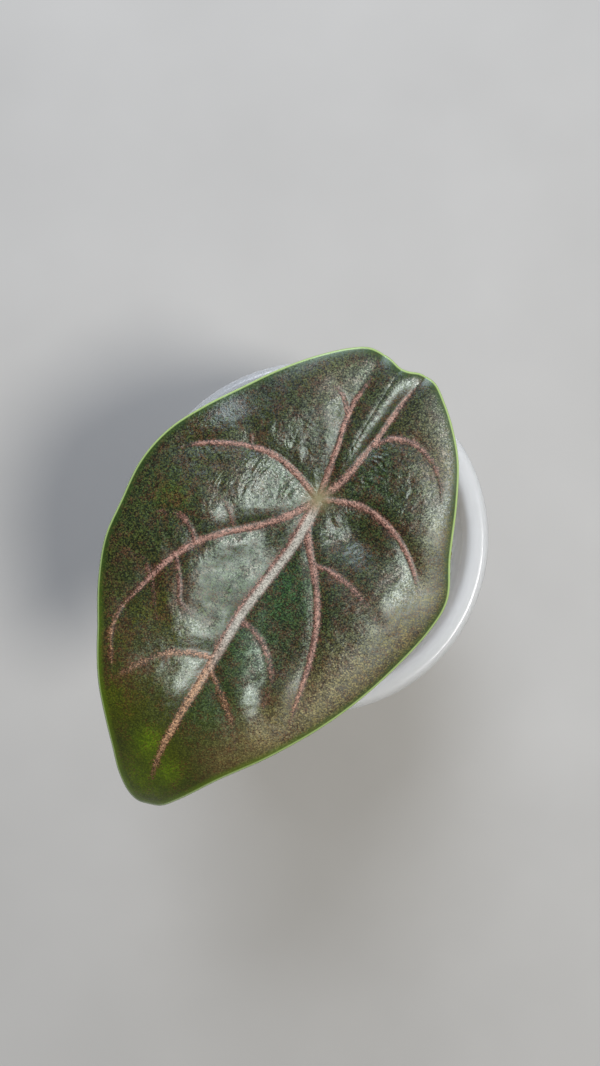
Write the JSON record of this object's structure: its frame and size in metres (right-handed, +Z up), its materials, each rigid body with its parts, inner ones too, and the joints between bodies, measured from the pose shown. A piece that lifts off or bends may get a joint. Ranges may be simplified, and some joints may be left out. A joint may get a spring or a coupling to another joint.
{
  "type": "potted alocasia azlanii",
  "caption": "Small shield-leaved aroid with one quilted, dark iridescent leaf on a bowed stalk, growing from a corm in a clear plastic cup filled with moss.",
  "frame": {"origin": "on the cup's axis, at the underside of its base, where the plant stands", "axes": "+Z up along the cup's axis; the leaf's tip points along -Y, and its midrib lies close to the YZ plane"},
  "size_m": [0.09, 0.1073, 0.1496],
  "materials": {
    "pot": "clear, slightly milky moulded plastic, glossy",
    "moss": "dried long-fibre sphagnum moss, matte",
    "corm": "brown ringed corm with pale fleshy roots",
    "petiole": "smooth brown-pink leaf stalk",
    "leaf_blade": "dark olive to bronze leaf with a silvery sheen, dull pink veins and a green edge"
  },
  "bodies": {
    "root": {"pot": "pot", "moss": "moss", "corm": "corm", "petiole": "petiole", "leaf_blade": "leaf_blade"}
  },
  "joints": []
}
